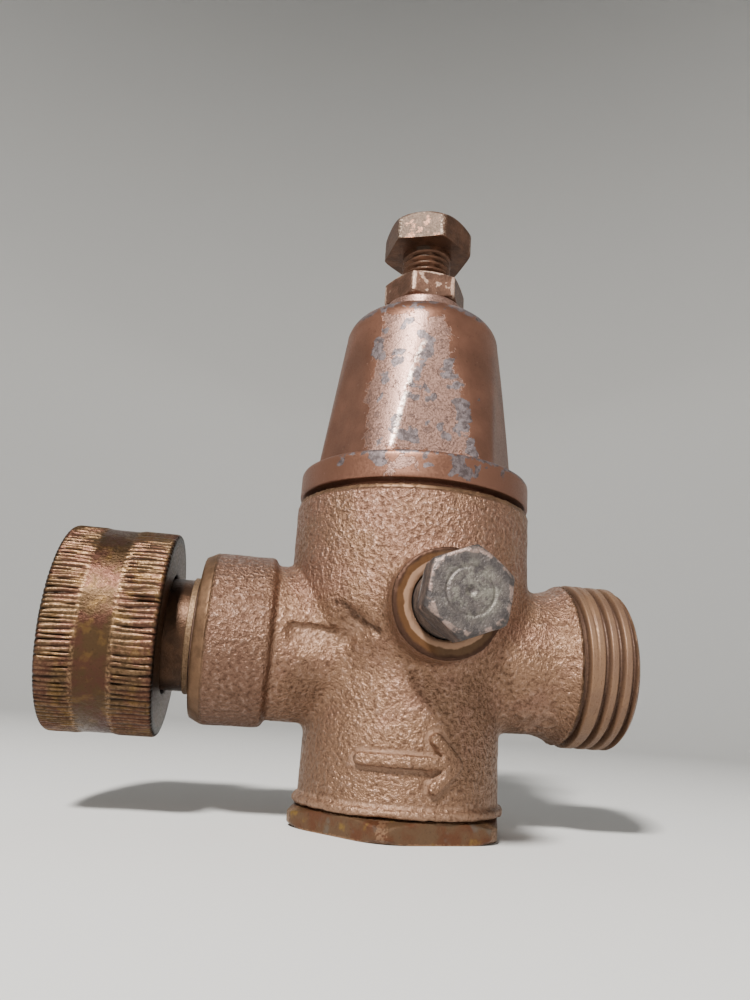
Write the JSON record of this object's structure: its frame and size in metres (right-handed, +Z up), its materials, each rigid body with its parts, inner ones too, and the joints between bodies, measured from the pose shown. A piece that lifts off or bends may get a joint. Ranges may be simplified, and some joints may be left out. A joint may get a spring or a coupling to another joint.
{
  "type": "pressure reducing valve",
  "caption": "Direct-acting pressure reducing valve for a hose line, with screw adjustment, a plugged gauge port, a swivel inlet nut and a male hose outlet.",
  "frame": {"origin": "centre of the bottom cap's flat base", "axes": "+Z up along the adjusting spindle; +X along the flow, out of the male outlet; -Y towards the gauge port"},
  "size_m": [0.0897, 0.055, 0.1073],
  "materials": {
    "cast_gunmetal": "rough sand-cast gunmetal with a grainy skin",
    "cap_bronze": "machined bronze, stained",
    "plated_bronze": "worn plating over bronze, satin",
    "screw_bronze": "worn bronze, satin",
    "nut_bronze": "worn bronze, satin",
    "knurled_brass": "knurled brass, tarnished",
    "tail_brass": "turned brass, dull",
    "inner_brass": "turned brass, clean",
    "plug_steel": "dull zinc-plated steel",
    "spring_steel": "drawn wire",
    "screen_steel": "perforated sheet",
    "rubber": "matt",
    "fibre": "vulcanised fibre"
  },
  "bodies": {
    "valve_body": {"body": "cast_gunmetal", "bottom_cap": "cap_bronze", "cap_gasket": "fibre", "valve_seat": "inner_brass", "seat_gasket": "fibre", "strainer": "screen_steel", "slip_ring": "inner_brass", "diaphragm": "rubber", "bonnet": "plated_bronze", "gauge_plug": "plug_steel", "tailpiece": "tail_brass", "tailpiece_washer": "fibre", "adjusting_spring": "spring_steel", "closing_spring": "spring_steel"},
    "stem_assembly": {"valve_stem": "inner_brass", "disc_holder": "inner_brass", "seat_disc": "rubber", "disc_nut": "inner_brass", "diaphragm_washer": "inner_brass", "pressure_plate": "inner_brass", "diaphragm_nut": "inner_brass"},
    "spring_button": {"spring_button": "inner_brass"},
    "adjusting_screw": {"adjusting_screw": "screw_bronze"},
    "lock_nut": {"lock_nut": "nut_bronze"},
    "swivel_nut": {"swivel_nut": "knurled_brass", "hose_washer": "rubber"}
  },
  "joints": [
    {"name": "button_slide", "type": "slide", "parent": "valve_body", "child": "spring_button", "axis": [0, 0, 1], "range_m": [-0.00634, 0], "deforming": ["adjusting_spring"]},
    {"name": "screw_turn", "type": "hinge", "parent": "spring_button", "child": "adjusting_screw", "pos_m": [0, 0, 0.09], "axis": [0, 0, 1], "range_deg": [-1800, 0]},
    {"name": "stem_slide", "type": "slide", "parent": "valve_body", "child": "stem_assembly", "axis": [0, 0, 1], "range_m": [-0.002, 0], "stiffness_N_per_m": 900, "springref_m": 0.002, "deforming": ["closing_spring", "diaphragm"]},
    {"name": "lock_nut_turn", "type": "hinge", "parent": "valve_body", "child": "lock_nut", "pos_m": [0, 0, 0.09265], "axis": [0, 0, 1], "range_deg": [0, 180]},
    {"name": "nut_swivel", "type": "hinge", "parent": "valve_body", "child": "swivel_nut", "pos_m": [-0.046, 0, 0.02705], "axis": [1, 0, 0], "continuous": true}
  ],
  "couplings": [
    {"joint": "screw_turn", "follows": "button_slide", "rad_per_m": 4947.4}
  ]
}
